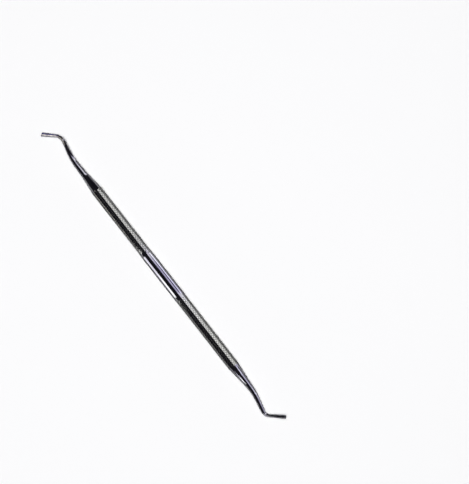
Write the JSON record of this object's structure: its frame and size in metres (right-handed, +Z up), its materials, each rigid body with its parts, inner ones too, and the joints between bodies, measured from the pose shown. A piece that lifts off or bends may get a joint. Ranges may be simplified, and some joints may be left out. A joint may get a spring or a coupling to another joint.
{
  "type": "amalgam plugger",
  "caption": "Double-ended dental condenser: slim round steel handle with two knurled grips, tapered shanks bent to contra-angles and small flat-faced nibs that point opposite ways.",
  "frame": {"origin": "on the surface that the plugger lies on, under the middle of its bounding box", "axes": "+X along the handle from the left end to the right end; +Z up from the surface; +Y is the side that the right nib points to"},
  "size_m": [0.1688, 0.0096, 0.0053],
  "materials": {
    "stainless_steel": "polished, with knurled grips"
  },
  "bodies": {
    "root": {"plugger": "stainless_steel"}
  },
  "joints": []
}
